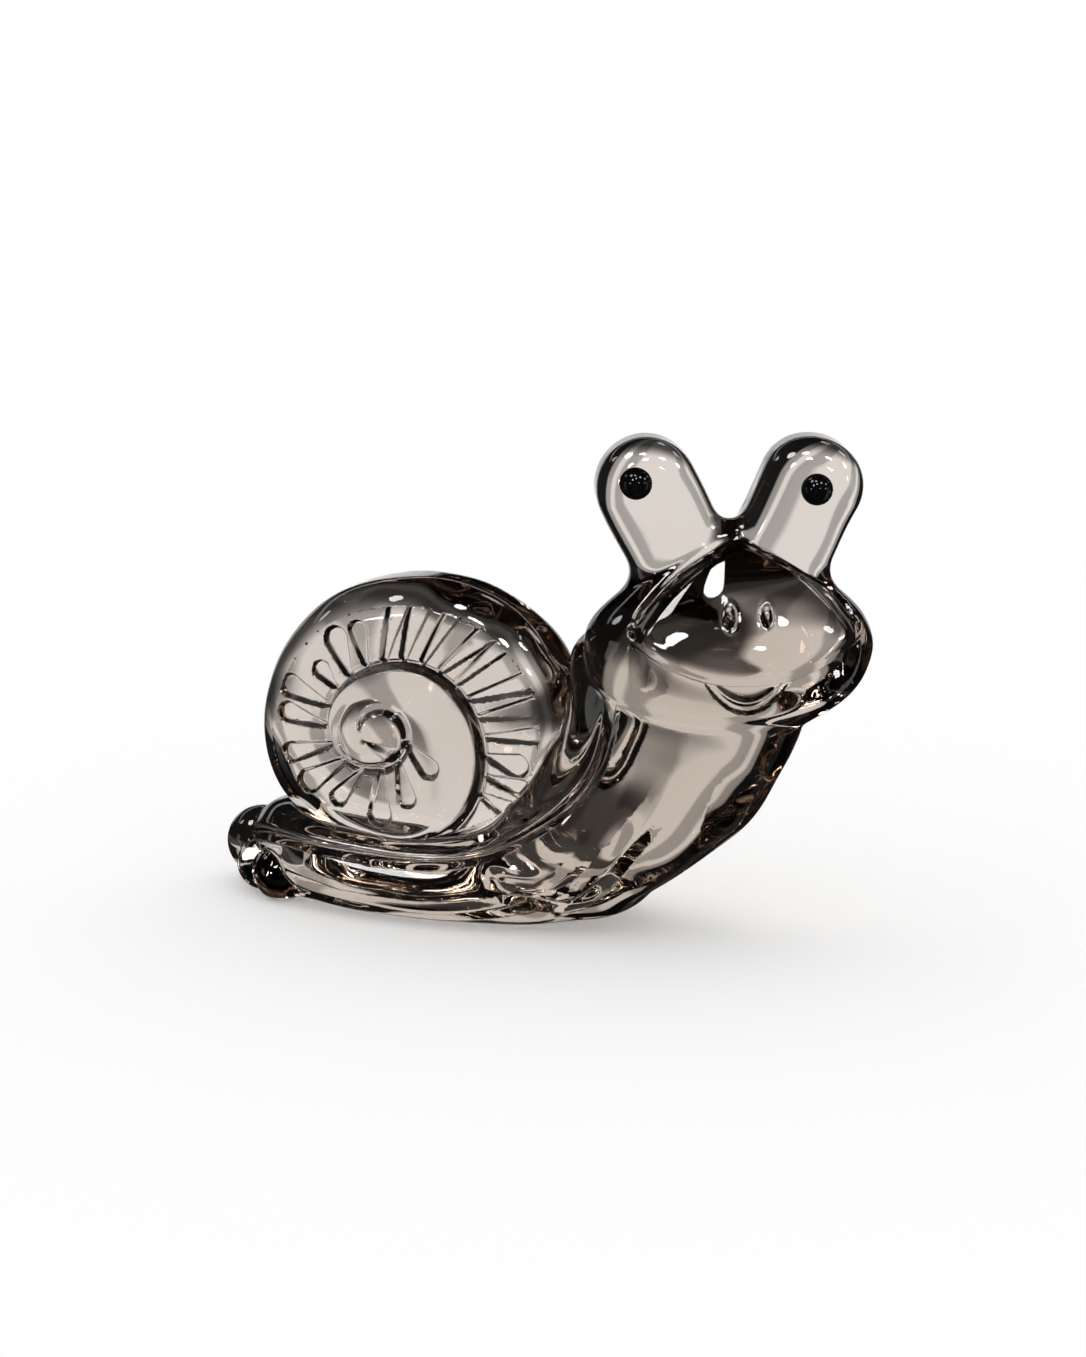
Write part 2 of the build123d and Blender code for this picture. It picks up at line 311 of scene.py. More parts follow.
edgeCurve = closedCurve(coil["edgeShares"], coil["reach"], coil["edgeOverlap"])
suturePlaces = np.arange(len(coil["sutureShares"])) * coil["sutureStep"]
sutureCurve = curveThrough(suturePlaces, coil["reach"] * np.array(coil["sutureShares"]))
curlCurve = curveThrough(*zip(*coil["curl"]))


# Flutes pressed along the suture. A Geometry Nodes tree sets one rod at each even step.
flutes = {
    "spacing": 4.8, "width": 4.2, "depth": 1.7, "longest": 17.0, "gap": 1.4,
    # lean in degrees, gone after leanTurns, and how much the hand strays from flute to flute
    "firstTurn": 0.02, "backLean": 38.0, "leanTurns": 0.5,
    "strayLean": 7.0, "leanPace": 2.4, "strayWidth": 0.16, "widthPace": 3.7,
    # lengths as shares of the longest
    "lengths": [
        0.46, 0.51, 0.61, 0.52, 0.60, 0.59, 0.55, 0.58, 0.30, 0.52, 0.50,
        0.85, 0.80, 1.00, 1.10, 0.95, 1.05, 0.80, 1.10, 0.42, 0.46, 0.52,
    ],
    "rodSides": 8, "pathSteps": 400,
    # half widths at both ends, the wall's run, how much shallower the tip is, and the raised lip
    "rootHalf": 0.8, "tipHalf": 2.6, "wall": 0.6, "tipLoss": 0.15,
    "lip": 0.35, "lipAway": 1.5, "lipWidth": 0.8,
}


def suturePath():
    firstTurn, spacing = flutes["firstTurn"], flutes["spacing"]
    turns = firstTurn + np.linspace(0, suturePlaces[-1] - firstTurn, flutes["pathSteps"])
    radius = sutureCurve(turns)[0]
    x, z = radius * np.cos(2 * math.pi * turns), -radius * np.sin(2 * math.pi * turns)
    steps = np.hypot(np.diff(x), np.diff(z))
    run = np.concatenate([[0], np.cumsum(steps)])
    keep = run <= spacing * (len(flutes["lengths"]) - 1) + spacing / 2
    number = np.round(run / spacing).astype(int)
    mesh = bpy.data.meshes.new("suturePath")
    points = [(a * mm, 0, b * mm) for a, b in zip(x[keep], z[keep])]
    mesh.from_pydata(points, [(i, i + 1) for i in range(len(points) - 1)], [])
    shares = mesh.attributes.new("lengthShare", "FLOAT", "POINT")
    leans = mesh.attributes.new("lean", "FLOAT", "POINT")
    lengths = np.array(flutes["lengths"])[np.minimum(number[keep], len(flutes["lengths"]) - 1)]
    shares.data.foreach_set("value", lengths.astype(np.float32))
    lean = math.radians(flutes["backLean"]) * np.maximum(0, 1 - turns[keep] / flutes["leanTurns"])
    lean = lean + math.radians(flutes["strayLean"]) * np.sin(flutes["leanPace"] * number[keep])
    leans.data.foreach_set("value", lean.astype(np.float32))
    path = bpy.data.objects.new("suturePath", mesh)
    scene.collection.objects.link(path)
    return path


# links a socket where it is given one, and otherwise sets the constant on the input itself
def feed(tree, node, inputs):
    for name, value in inputs.items():
        if isinstance(value, bpy.types.NodeSocket):
            tree.links.new(value, node.inputs[name])
        else:
            node.inputs[name].default_value = value


def addNode(tree, kind, inputs, **settings):
    node = tree.nodes.new(kind)
    for name, value in settings.items():
        setattr(node, name, value)
    feed(tree, node, inputs)
    return node


def addSockets(tree, way, kind, *names):
    for name in names:
        tree.interface.new_socket(name, in_out=way, socket_type="NodeSocket" + kind)


def mathNode(tree, operation, *values):
    return addNode(tree, "ShaderNodeMath", dict(enumerate(values)), operation=operation).outputs[0]


def vectorNode(tree, operation, inputs, output=0):
    return addNode(tree, "ShaderNodeVectorMath", inputs, operation=operation).outputs[output]


def readNumber(tree, name):
    node = addNode(tree, "GeometryNodeInputNamedAttribute", {"Name": name}, data_type="FLOAT")
    return node.outputs["Attribute"]


def keepVector(tree, geometry, name, value):
    node = addNode(
        tree, "GeometryNodeStoreNamedAttribute", {"Geometry": geometry, "Name": name},
        data_type="FLOAT_VECTOR", domain="INSTANCE",
    )
    sockets = [s for s in node.inputs if s.name == "Value" and s.type == "VECTOR"]
    tree.links.new(value, sockets[0])
    return node.outputs["Geometry"]


def fluteTree(material):
    tree = bpy.data.node_groups.new("fluteRods", "GeometryNodeTree")
    addSockets(tree, "INPUT", "Geometry", "Path")
    addSockets(tree, "INPUT", "Float", "Spacing", "Width", "Longest", "Gap", "Run Out")
    addSockets(tree, "OUTPUT", "Geometry", "Rods")
    given = tree.nodes.new("NodeGroupInput").outputs
    curve = addNode(tree, "GeometryNodeMeshToCurve", {"Mesh": given["Path"]}).outputs[0]
    lengthwise = {"Curve": curve, "Length": given["Spacing"]}
    even = addNode(tree, "GeometryNodeResampleCurve", lengthwise, mode="LENGTH").outputs[0]
    points = addNode(tree, "GeometryNodeCurveToPoints", {"Curve": even}, mode="EVALUATED")
    spot = tree.nodes.new("GeometryNodeInputPosition").outputs[0]
    outward = vectorNode(tree, "NORMALIZE", {0: spot})
    lean = {"Vector": outward, "Angle": readNumber(tree, "lean")}
    leaning = addNode(tree, "ShaderNodeVectorRotate", lean, rotation_type="Y_AXIS").outputs[0]
    length = mathNode(tree, "MULTIPLY", readNumber(tree, "lengthShare"), given["Longest"])
    along = vectorNode(tree, "SCALE", {0: leaning, "Scale": length})
    down = addNode(tree, "ShaderNodeCombineXYZ", {"Y": given["Run Out"]}).outputs[0]
    rodLine = vectorNode(tree, "SUBTRACT", {0: along, 1: down})
    turned = addNode(tree, "FunctionNodeAlignRotationToVector", {"Vector": rodLine}, axis="Z").outputs[0]
    rodLength = vectorNode(tree, "LENGTH", {0: rodLine}, "Value")
    sizes = {"X": given["Width"], "Y": given["Width"], "Z": rodLength}
    size = addNode(tree, "ShaderNodeCombineXYZ", sizes).outputs[0]
    unit = {"Vertices": flutes["rodSides"], "Radius": 0.5, "Depth": 1.0}
    rod = addNode(tree, "GeometryNodeMeshCylinder", unit).outputs["Mesh"]
    lifted = addNode(tree, "GeometryNodeTransform", {"Geometry": rod, "Translation": (0, 0, 0.5)})
    placed = {"Points": points.outputs["Points"], "Instance": lifted.outputs[0]}
    placed.update({"Rotation": turned, "Scale": size})
    rods = addNode(tree, "GeometryNodeInstanceOnPoints", placed).outputs[0]
    step = vectorNode(tree, "SCALE", {0: outward, "Scale": given["Gap"]})
    root = vectorNode(tree, "ADD", {0: spot, 1: step})
    rods = keepVector(tree, rods, "rodRoot", root)
    rods = keepVector(tree, rods, "rodTip", vectorNode(tree, "ADD", {0: root, 1: rodLine}))
    whole = addNode(tree, "GeometryNodeRealizeInstances", {"Geometry": rods}).outputs[0]
    finished = addNode(tree, "GeometryNodeSetMaterial", {"Geometry": whole, "Material": material})
    addNode(tree, "NodeGroupOutput", {"Rods": finished.outputs[0]})
    return tree


def setInputs(modifier, values):
    for item in modifier.node_group.interface.items_tree:
        if item.in_out == "INPUT" and item.name in values:
            modifier[item.identifier] = values[item.name]


# where each flute starts and ends on the shell's face, read from the rods that the tree sets
def pressedFlutes(material):
    path = suturePath()
    modifier = path.modifiers.new("fluteRods", "NODES")
    modifier.node_group = fluteTree(material)
    setInputs(modifier, {
        "Spacing": flutes["spacing"] * mm, "Width": flutes["width"] * mm,
        "Longest": flutes["longest"] * mm, "Gap": flutes["gap"] * mm, "Run Out": flutes["depth"] * mm,
    })
    evaluated = path.evaluated_get(bpy.context.evaluated_depsgraph_get())
    mesh = bpy.data.meshes.new_from_object(evaluated)
    perRod = 2 * flutes["rodSides"]  # a rod has a ring of points at each end
    ends = []
    for name in ("rodRoot", "rodTip"):
        values = np.zeros(len(mesh.vertices) * 3, np.float32)
        mesh.attributes[name].data.foreach_get("vector", values)
        ends.append(values.reshape(-1, 3)[::perRod] / mm)
    path.modifiers.remove(modifier)
    bpy.data.objects.remove(path)
    bpy.data.meshes.remove(mesh)
    return [(root[0], root[2], tip[0], tip[2]) for root, tip in zip(*ends)]


# one lap of the whorl: a steep step at the suture that falls away gently towards the apex
def whorlLap(inside):
    step = coil["whorlStep"] * smoothStep(0, coil["stepWidth"], inside)
    lap = step * (1 - coil["fallShare"] * smoothStep(coil["stepWidth"], coil["whorlFall"], inside))
    lap = lap - coil["sutureDepth"] * bump(inside, coil["sutureWidth"])
    outside = np.maximum(-inside, 0) / coil["sutureRun"]
    past = 1 - smoothStep(-coil["sutureEdge"], coil["sutureEdge"], inside)
    return lap - coil["sutureDip"] * np.exp(-outside ** 2) * past


def fluteRelief(x, z):
    height = 0
    for number, (rootX, rootZ, tipX, tipZ) in enumerate(fluteLines):
        spanX, spanZ = tipX - rootX, tipZ - rootZ
        share = np.clip(((x - rootX) * spanX + (z - rootZ) * spanZ) / (spanX ** 2 + spanZ ** 2), 0, 1)
        half = flutes["rootHalf"] + (flutes["tipHalf"] - flutes["rootHalf"]) * share
        half = half * (1 + flutes["strayWidth"] * math.sin(flutes["widthPace"] * number))
        away = np.hypot(x - rootX - share * spanX, z - rootZ - share * spanZ) - half
        deep = flutes["depth"] * (1 - flutes["tipLoss"] * share)
        pressed = deep * (1 - smoothStep(-flutes["wall"], flutes["wall"], away))
        lip = flutes["lip"] * bump(away - flutes["lipAway"], flutes["lipWidth"])
        height = np.minimum(height, -pressed + lip)
    return height


# the round cap at the middle of the coil
def apexRelief(x, z):
    capX, capZ = coil["apexAt"]
    capRadius = (coil["apexRadius"] ** 2 + coil["apexRise"] ** 2) / (2 * coil["apexRise"])
    fromCap = (x - capX) ** 2 + (z - capZ) ** 2
    cap = np.sqrt(np.maximum(capRadius ** 2 - fromCap, 0)) - (capRadius - coil["apexRise"])
    return softMax(cap, 0 * cap, coil["apexBlend"])


def curlGroove(radius, turns):
    firstTurn, lastTurn = coil["curl"][0][0], coil["curl"][-1][0]
    (early, late), (fade, past) = coil["curlComes"], coil["curlGoes"]
    curl = curlCurve(np.clip(turns, firstTurn, lastTurn))[0]
    along = smoothStep(firstTurn + early, firstTurn + late, turns)
    along = along * smoothStep(0, fade, lastTurn + past - turns)
    return coil["curlDepth"] * along * bump(radius - curl, coil["curlWidth"])


def coilRelief(x, z):
    radius, turns = np.hypot(x, z), clockwiseTurns(x, z)
    starts = smoothStep(coil["whorlFirst"], coil["whorlFirst"] + coil["whorlComes"], turns)
    ends = smoothStep(0, coil["whorlFade"], coil["whorlLast"] - 1 - turns)
    height = starts * whorlLap(sutureCurve(turns)[0] - radius)
    height = height + ends * whorlLap(sutureCurve(np.minimum(turns + 1, suturePlaces[-1]))[0] - radius)
    height = height + apexRelief(x, z)
    for curlTurns in (turns, turns + 1):
        height = height - curlGroove(radius, curlTurns)
    height = height + fluteRelief(x, z)
    edge = edgeCurve(turns)[0]
    fromLine = edge - radius - coil["rimInset"]
    height = height - coil["rimLineDepth"] * bump(fromLine, coil["rimLineWidth"])
    return height + coil["faceDome"] * (coil["faceShare"] - np.minimum(radius / edge, 1) ** 2)


def backRelief(x, z):
    share = np.minimum(np.hypot(x, z) / edgeCurve(clockwiseTurns(x, z))[0], 1)
    return coil["backDome"] * (coil["backShare"] - share ** 2) - handWaves(x, 0 * x, z)


def coilField(x, y, z):
    localX, localZ = x - coilX, z - coilZ
    edge, slope = edgeCurve(clockwiseTurns(localX, localZ))
    lean = np.sqrt(1 + (slope / (2 * math.pi * edge)) ** 2)
    rim = coil["rimRadius"]
    outward = (np.hypot(localX, localZ) - edge) / lean + rim
    relief = backRelief(localX, localZ)
    front = (y < coil["faceFrom"]) & (outward < coil["faceOver"])
    relief[front] = coilRelief(localX[front], localZ[front])
    sideways = np.abs(y) - coil["thickness"] / 2 - relief + rim
    return roundedSlab(outward, sideways, rim)


# Head
head = {
    "width": 69.0, "depth": 47.0, "rise": 30.0, "drop": 22.4, "turn": 22.0,
    # its place, as shares of the foot's reach, width and rise, and its outline, as shares of its own
    "place": (0.279, -0.100, 0.900),
    "brow": [(0.280, 0.900), (0.560, 0.660), (0.715, 0.510), (0.827, 0.387), (0.930, 0.255),
             (0.989, 0.120)],
    "jaw": [(0.985, 0.130), (0.950, 0.300), (0.880, 0.478), (0.700, 0.700), (0.475, 0.870),
            (0.220, 0.975)],
    "leastSlope": 0.6, "faceShift": 3.0, "faceIn": (1.0, 7.0),
    # the mouth line sags between its ends, and the jaw steps back under the lip
    "mouthHalf": 27.0, "mouthEnd": 3.7, "mouthSag": 5.6, "mouthCurve": 1.2, "mouthReach": 1.1,
    "mouthStep": 3.0, "mouthFade": (0.86, 1.05), "jawRun": 9.0,
    "lipEdge": 0.5, "lipSwell": 0.6, "lipHeight": 3.0, "lipWidthShare": 0.8,
    "smileHalf": 10.5, "smileSag": 12.6, "smileDepth": 1.8, "smileFloor": 0.5, "smileRim": 0.6,
    "tongueRise": 1.1, "tongueHeight": 2.6, "tongueWidth": 0.9,
    "nostrilAcross": 4.4, "nostrilUp": 11.0, "nostrilWide": 1.3, "nostrilHigh": 2.2,
    "nostrilDepth": 1.3, "nostrilLip": 0.15,
    # in shares of a nostril's size: its wall, and where the lip round it lies and how wide it is
    "nostrilWall": (0.3, 1.15), "nostrilLipAway": 1.45, "nostrilLipWidth": 0.35,
    # the muzzle's raised plate over the mouth
    "plateHalf": 28.0, "plateLow": 3.0, "plateRise": 24.5, "plateCurve": 1.4, "plateFrom": (0.5, 2.5),
    "plateCrease": 1.2, "creaseWidth": 1.2, "plateSwell": 0.6, "plateEdge": (0.88, 1.0),
}
headX, headY, headZ = (
    share * size for share, size in zip(head["place"], (foot["reach"], foot["width"], foot["rise"]))
)


def headOutline():
    half = head["width"] / 2
    points = [(0, -head["drop"])]
    points += [(half * a, -head["drop"] * d) for a, d in reversed(head["jaw"])]
    points += [(half, 0)]
    points += [(half * a, head["rise"] * u) for a, u in reversed(head["brow"])]
    points += [(0, head["rise"])]
    angles = [math.atan2(z, x) for x, z in points]
    return curveThrough(angles, [math.hypot(x, z) for x, z in points], flatEnds=True)


headCurve = headOutline()


# a point seen from the head: across its face, deep into it and up
def headPoint(x, y, z):
    turn = math.radians(head["turn"])
    across = (x - headX) * math.cos(turn) + (y - headY) * math.sin(turn)
    deep = -(x - headX) * math.sin(turn) + (y - headY) * math.cos(turn)
    return across, deep, z - headZ


def mouthLine(across):
    share = np.minimum(np.abs(across) / head["mouthHalf"], head["mouthReach"])
    rise, curve = head["mouthSag"] + head["mouthEnd"], head["mouthCurve"]
    line = -head["mouthSag"] + rise * share ** (curve + 1)
    return line, (curve + 1) * rise * share ** curve / head["mouthHalf"]


def mouthRelief(across, up):
    line, slope = mouthLine(across)
    away = (up - line) / np.sqrt(1 + slope ** 2)
    relief = head["mouthStep"] * (1 - smoothStep(-head["lipEdge"], head["lipEdge"], away))
    relief = relief * (1 - smoothStep(0, head["jawRun"], -away))
    lip = bump(away - head["lipHeight"], head["lipHeight"] * head["lipWidthShare"])
    relief = relief - head["lipSwell"] * lip
    relief = relief * (1 - smoothStep(*head["mouthFade"], np.abs(across) / head["mouthHalf"]))
    share = np.clip(across / head["smileHalf"], -1, 1)
    bottom = line - (head["smileSag"] - head["mouthSag"]) * (1 - share ** 2)
    overFloor = smoothStep(-head["smileFloor"], head["smileFloor"], up - bottom)
    inside = overFloor * smoothStep(-head["smileRim"], head["smileRim"], line - up)
    relief = relief + head["smileDepth"] * inside * (1 - share ** 4)
    tongue = bump(up - bottom - head["tongueHeight"], head["tongueWidth"])
    return relief - head["tongueRise"] * (tongue * (1 - share ** 2) * (line > up)), away


def plateRelief(across, up, away):
    high = np.maximum(up - head["plateLow"], 0) / head["plateRise"]
    wide = np.abs(across) / head["plateHalf"]
    power = head["plateCurve"]
    size = (wide ** power + high ** power + tiny) ** (1 / power)
    shown = smoothStep(*head["plateFrom"], away)
    relief = head["plateCrease"] * bump((size - 1) * head["plateRise"], head["creaseWidth"]) * shown
    return relief - head["plateSwell"] * (1 - smoothStep(*head["plateEdge"], size)) * shown


def faceRelief(across, deep, up):
    across = across - head["faceShift"]
    relief, away = mouthRelief(across, up)
    relief = relief + plateRelief(across, up, away)
    for side in (-1, 1):
        wide = (across - side * head["nostrilAcross"]) / head["nostrilWide"]
        high = (up - head["nostrilUp"]) / head["nostrilHigh"]
        ring = np.hypot(wide, high)
        relief = relief + head["nostrilDepth"] * (1 - smoothStep(*head["nostrilWall"], ring))
        lip = bump(ring - head["nostrilLipAway"], head["nostrilLipWidth"])
        relief = relief - head["nostrilLip"] * lip
    return relief * smoothStep(*head["faceIn"], -deep)


def headField(x, y, z):
    across, deep, up = headPoint(x, y, z)
    flat = head["width"] / head["depth"]
    out = np.hypot(across, deep * flat)
    radius = np.hypot(out, up) + tiny
    edge, slope = headCurve(np.arctan2(up, out))
    lean = np.sqrt(1 + (slope / radius) ** 2)
    stepOut = (out / radius + slope / radius * up / radius) / lean
    stepUp = (up / radius - slope / radius * out / radius) / lean
    stretch = (across ** 2 + flat ** 4 * deep ** 2) / (out ** 2 + tiny)
    steep = np.sqrt(stepOut ** 2 * stretch + stepUp ** 2)
    blank = (radius - edge) / lean / np.maximum(steep, head["leastSlope"])
    return blank + faceRelief(across, deep, up)


# Eye stalks and beads
stalk = {
    "radius": 12.2, "thickness": 21.0, "round": 6.4, "length": 30.0, "rootBlend": 3.0, "lean": 26.0,
    # how much a pane domes, and the share of that which stands proud of the tablet
    "paneDome": 1.8, "paneShare": 0.6,
    # place of the tip: shares of the head's half width, rise and depth
    "across": 0.57, "up": 1.29, "back": 0.08,
}
# the left bead: how far it sits in, and its place off the tip, as shares of the stalk's radius
bead = {"diameter": 7.6, "seat": 4.8, "side": -1, "out": 0.25, "up": 0.15}


def stalkTip(side):
    across = side * head["width"] / 2 * stalk["across"]
    return across, head["depth"] * stalk["back"], head["rise"] * stalk["up"]


# a tablet with a round end: across it, along it and through it
def stalkField(x, y, z, side):
    across, deep, up = headPoint(x, y, z)
    lean = math.radians(stalk["lean"])
    tip = stalkTip(side)
    wide = (across - tip[0]) * math.cos(lean) - side * (up - tip[2]) * math.sin(lean)
    along = side * (across - tip[0]) * math.sin(lean) + (up - tip[2]) * math.cos(lean)
    deep = deep - tip[1]
    fromAxis = np.hypot(wide, np.maximum(along, 0))
    dome = stalk["paneDome"] * (stalk["paneShare"] - np.minimum(fromAxis / stalk["radius"], 1) ** 2)
    outward = fromAxis - stalk["radius"] + stalk["round"]
    sideways = np.abs(deep) - stalk["thickness"] / 2 - dome + stalk["round"]
    tablet = roundedSlab(outward, sideways, stalk["round"])
    return softMax(tablet, -along - stalk["length"], stalk["rootBlend"])


def beadCentre():
    tip = stalkTip(bead["side"])
    across = tip[0] + bead["side"] * stalk["radius"] * bead["out"]
    deep = tip[1] - stalk["thickness"] / 2 - bead["diameter"] / 2 + bead["seat"]
    up = tip[2] + stalk["radius"] * bead["up"]
    turn = math.radians(head["turn"])
    return Vector((
        headX + across * math.cos(turn) - deep * math.sin(turn),
        headY + across * math.sin(turn) + deep * math.cos(turn),
        headZ + up,
    ))


# The whole figurine in one smooth body of glass
glass = {
    # how softly the pieces run into each other; a stalk's front has paneBlend
    "seatBlend": 2.0, "chinBlend": 1.4, "paneBlend": 1.0, "stalkBlend": 5.5, "forkBlend": 5.0,
    # what shows of the waves, and how far before the head's middle the front's form takes over
    "stalkWaves": 0.3, "skullWaves": 0.5, "jointFront": (2.0, 9.0), "skullFront": (3.0, 9.0),
    # where the field of each piece is worked out, and what it is elsewhere
    "shellMargin": 8.0, "bodyTop": 95.0, "headFrom": (-2.0, 38.0), "farOff": 40.0,
    # the grid: its corners and steps, and the depth kept on both sides of the surface
    "low": (-95.0, -38.0, -2.0), "high": (85.0, 34.0, 128.0), "voxel": 0.45, "coarse": 3, "band": 2.4,
    "chunks": 30, "triangles": 190000,
    # settling the points: rounds before and after thinning, the step for a slope, and limits
    "firstRounds": 1, "lastRounds": 2, "step": 0.02, "leastSquare": 0.25, "longest": 0.4,
}


def headAndStalks(x, y, z):
    deep = headPoint(x, y, z)[1]
    stalks = softMin(stalkField(x, y, z, -1), stalkField(x, y, z, 1), glass["forkBlend"])
    wave = handWaves(x, y, z)
    stalks = stalks + glass["stalkWaves"] * wave
    front = smoothStep(*glass["jointFront"], -deep)
    joint = glass["stalkBlend"] + (glass["paneBlend"] - glass["stalkBlend"]) * front
    back = 1 - smoothStep(*glass["skullFront"], -deep)
    skull = headField(x, y, z) + glass["skullWaves"] * wave * back
    return softMin(skull, stalks, joint)


# a field worked out only where it can matter, and far off everywhere else
def inReach(field, mask, point):
    values = np.full(len(mask), glass["farOff"])
    if mask.any():
        values[mask] = field(*(v[mask] for v in point))
    return values


def glassField(x, y, z):
    point = (x, y, z)
    shell = inReach(coilField, x < coilX + coil["reach"] + glass["shellMargin"], point)
    body = softMin(inReach(footField, z < glass["bodyTop"], point), shell, glass["seatBlend"])
    fromX, fromZ = glass["headFrom"]
    top = inReach(headAndStalks, (x > fromX) & (z > fromZ), point)
    return softMax(softMin(body, top, glass["chinBlend"]), -z, foot["soleRound"])


# which way the field rises at each point, and how fast
def glassSlope(points):
    step = glass["step"]
    columns = []
    for axis in range(3):
        ahead, behind = points.copy(), points.copy()
        ahead[:, axis] += step
        behind[:, axis] -= step
        columns.append((glassField(*ahead.T) - glassField(*behind.T)) / (2 * step))
    return np.stack(columns, axis=1)


# the field on a grid, worked out finely only where a coarse grid says the surface is near
def glassGrid():
    voxel, coarse, band = glass["voxel"], glass["coarse"], glass["band"]
    low, high = np.array(glass["low"]), np.array(glass["high"])
    counts = np.ceil((high - low) / (voxel * coarse)).astype(int)
    axes = [low[i] + voxel * coarse * (np.arange(counts[i]) + 0.5) - voxel / 2 for i in range(3)]
    spots = np.meshgrid(*axes, indexing="ij")
    rough = glassField(*(spot.ravel() for spot in spots)).reshape(counts)
    values = np.clip(rough, -band, band)
    for axis in range(3):
        values = np.repeat(values, coarse, axis=axis)
    near = np.abs(rough) < band
    for axis in range(3):
        near = np.repeat(near, coarse, axis=axis)
    places = np.nonzero(near)
    for part in np.array_split(np.arange(len(places[0])), glass["chunks"]):
        spots = [places[axis][part] for axis in range(3)]
        values[tuple(spots)] = glassField(*(low[axis] + voxel * spots[axis] for axis in range(3)))
    grid = openvdb.FloatGrid(band)
    grid.copyFromArray(np.clip(values, -band, band).astype(np.float32))
    points, _, quads = grid.convertToPolygons(isovalue=0.0, adaptivity=0.0)
    return low + points * voxel, quads


# moves points onto the surface, along the slope
def settle(points, rounds):
    for _ in range(rounds):
        slope = glassSlope(points)
        size = np.maximum((slope ** 2).sum(axis=1), glass["leastSquare"])
        step = -glassField(*points.T) / size
        points = points + slope * np.clip(step, -glass["longest"], glass["longest"])[:, None]
    return points


def makeGlass(shift, material):
    points, quads = glassGrid()
    print("glass grid:", len(points), "points,", len(quads), "quads")
    points = settle(points, glass["firstRounds"])
    rough = bpy.data.meshes.new("glassRough")
    rough.from_pydata((points * mm).tolist(), [], quads.tolist())
    holder = bpy.data.objects.new("glassRough", rough)
    scene.collection.objects.link(holder)
    thin = holder.modifiers.new("thin", "DECIMATE")
    thin.ratio = min(1, glass["triangles"] / (2 * len(quads)))
    evaluated = holder.evaluated_get(bpy.context.evaluated_depsgraph_get())
    mesh = bpy.data.meshes.new_from_object(evaluated)
    bpy.data.objects.remove(holder)
    bpy.data.meshes.remove(rough)
    mesh.name = "snail_glass"
    points = np.zeros(len(mesh.vertices) * 3)
    mesh.vertices.foreach_get("co", points)
    points = settle(points.reshape(-1, 3) / mm, glass["lastRounds"])
    points[:, 2] = np.maximum(points[:, 2], 0)
    slope = glassSlope(points)
    normals = slope / np.linalg.norm(slope, axis=1)[:, None]
    points = points * mm + np.array(shift)
    mesh.vertices.foreach_set("co", points.ravel())
    mesh.polygons.foreach_set("use_smooth", np.ones(len(mesh.polygons), bool))
    mesh.update()
    mesh.normals_split_custom_set_from_vertices(normals.tolist())
    mesh.materials.clear()
    mesh.materials.append(material)
    piece = bpy.data.objects.new("snail_glass", mesh)
    scene.collection.objects.link(piece)
    return piece


# Finishes. Scales are for a metre, and the heights of their waves are in metres.
skin = {"detail": 1.0, "roughness": 0.4}
smokeGlass = {
    "refraction": 1.5, "density": 56.0, "absorbs": (0.80, 0.745, 0.695),
    "tones": [(0.985, 0.98, 0.975), (0.96, 0.945, 0.93)],
    "waveScale": 45.0, "waveHeight": 0.0002, "roughness": (0.0, 0.004),
}
blackBead = {
    "tones": [(0.002, 0.002, 0.002), (0.004, 0.004, 0.004)],
    "waveScale": 600.0, "waveHeight": 0.00002, "roughness": (0.054, 0.09), "specular": 0.2,
}
# which sockets a Mix node has for numbers and for colours: two that go in and one that comes out
mixSockets = {"FLOAT": (2, 3, 0), "RGBA": (6, 7, 2)}


def rgba(colour):
    return (*colour, 1.0)


# fire-polished skin: a soft cloud of tone and a low wave
def polishGroup():
    tree = bpy.data.node_groups.new("firePolish", "ShaderNodeTree")
    addSockets(tree, "INPUT", "Vector", "Vector")
    addSockets(tree, "INPUT", "Float", "Scale", "Height")
    addSockets(tree, "OUTPUT", "Float", "Cloud")
    addSockets(tree, "OUTPUT", "Vector", "Normal")
    given = tree.nodes.new("NodeGroupInput").outputs
    noise = {"Vector": given["Vector"], "Scale": given["Scale"]}
    noise.update({"Detail": skin["detail"], "Roughness": skin["roughness"]})
    cloud = addNode(tree, "ShaderNodeTexNoise", noise).outputs["Fac"]
    wave = addNode(tree, "ShaderNodeBump", {"Height": cloud, "Distance": given["Height"]})
    addNode(tree, "NodeGroupOutput", {"Cloud": cloud, "Normal": wave.outputs["Normal"]})
    return tree


def mixNode(tree, kind, factor, first, second):
    start, end, result = mixSockets[kind]
    node = addNode(tree, "ShaderNodeMix", {"Factor": factor, start: first, end: second}, data_type=kind)
    return node.outputs[result]


def blendColours(tree, factor, first, second):
    return mixNode(tree, "RGBA", factor, rgba(first), rgba(second))


def spread(tree, value, low, high):
    node = addNode(tree, "ShaderNodeMapRange", {"Value": value, "To Min": low, "To Max": high})
    return node.outputs["Result"]


def polishedMaterial(name, group, finish):
    material = bpy.data.materials.new(name)
    material.use_nodes = True
    tree = material.node_tree
    place = tree.nodes.new("ShaderNodeTexCoord").outputs["Object"]
    wave = {"Vector": place, "Scale": finish["waveScale"], "Height": finish["waveHeight"]}
    surface = addNode(tree, "ShaderNodeGroup", wave, node_tree=group).outputs
    shader = tree.nodes["Principled BSDF"]
    feed(tree, shader, {
        "Base Color": blendColours(tree, surface["Cloud"], *finish["tones"]),
        "Roughness": spread(tree, surface["Cloud"], *finish["roughness"]),
        "Normal": surface["Normal"],
    })
    return material, tree, shader


